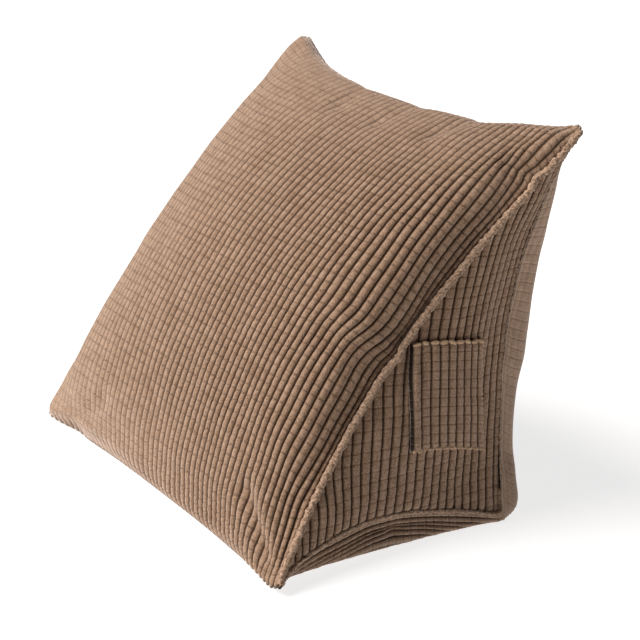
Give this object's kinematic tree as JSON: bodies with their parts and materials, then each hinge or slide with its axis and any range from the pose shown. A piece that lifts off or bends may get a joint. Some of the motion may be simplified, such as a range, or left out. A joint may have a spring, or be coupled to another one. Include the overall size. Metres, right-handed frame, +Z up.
{
  "type": "triangle cushion",
  "caption": "Triangle wedge cushion covered in chunky ribbed plush, with a stitched patch pocket on one end, for leaning the back on.",
  "frame": {"origin": "centre of the cushion's box at the surface it stands on", "axes": "+X along the width towards the end with the pocket, -Y towards the thin toe, +Y towards the upright back, +Z up"},
  "size_m": [0.463, 0.3636, 0.4393],
  "materials": {
    "ribbed_plush": "chunky ribbed polyester plush in light brown, soft and matt with a short pile",
    "pocket_plush": "the same ribbed plush as a single thickness, ribs upright"
  },
  "bodies": {
    "root": {"cushion": "ribbed_plush", "pocket": "pocket_plush"}
  },
  "joints": []
}
